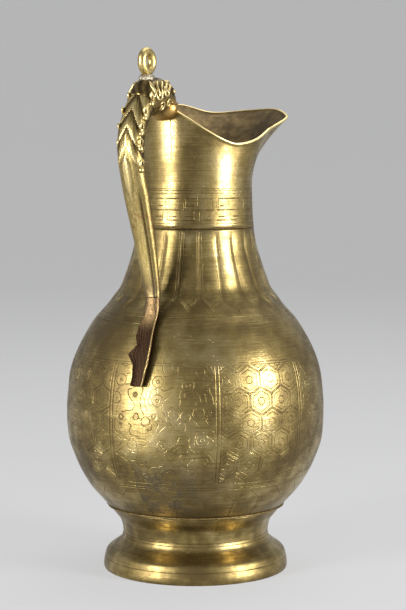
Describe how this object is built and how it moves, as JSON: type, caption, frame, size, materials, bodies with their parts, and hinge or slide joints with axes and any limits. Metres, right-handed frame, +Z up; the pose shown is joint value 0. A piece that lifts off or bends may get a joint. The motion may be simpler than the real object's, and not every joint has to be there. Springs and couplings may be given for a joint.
{
  "type": "bronze pouring jug",
  "caption": "Bronze pouring jug with a fluted shoulder, scooped mouth, flared foot ring and a cast beast-head handle with a hanging loop.",
  "frame": {"origin": "middle of the jug's box, in the plane of the foot", "axes": "+Z up, +X from the handle towards the spout"},
  "size_m": [0.205, 0.2002, 0.4],
  "materials": {
    "brass": "worn polished brass with brown patina",
    "handle_bronze": "cast, satin, rubbed on the ridges",
    "tail_bronze": "dark patina, rough",
    "solder": "dull tin solder"
  },
  "bodies": {
    "root": {"body_shell": "brass", "neck_sleeve": "brass", "neck_brazing": "solder", "foot_ring": "brass", "foot_solder": "solder", "beast_head": "handle_bronze", "handle_bow": "handle_bronze", "tail_leaf": "tail_bronze", "hanging_loop": "handle_bronze", "loop_solder": "solder"}
  },
  "joints": []
}
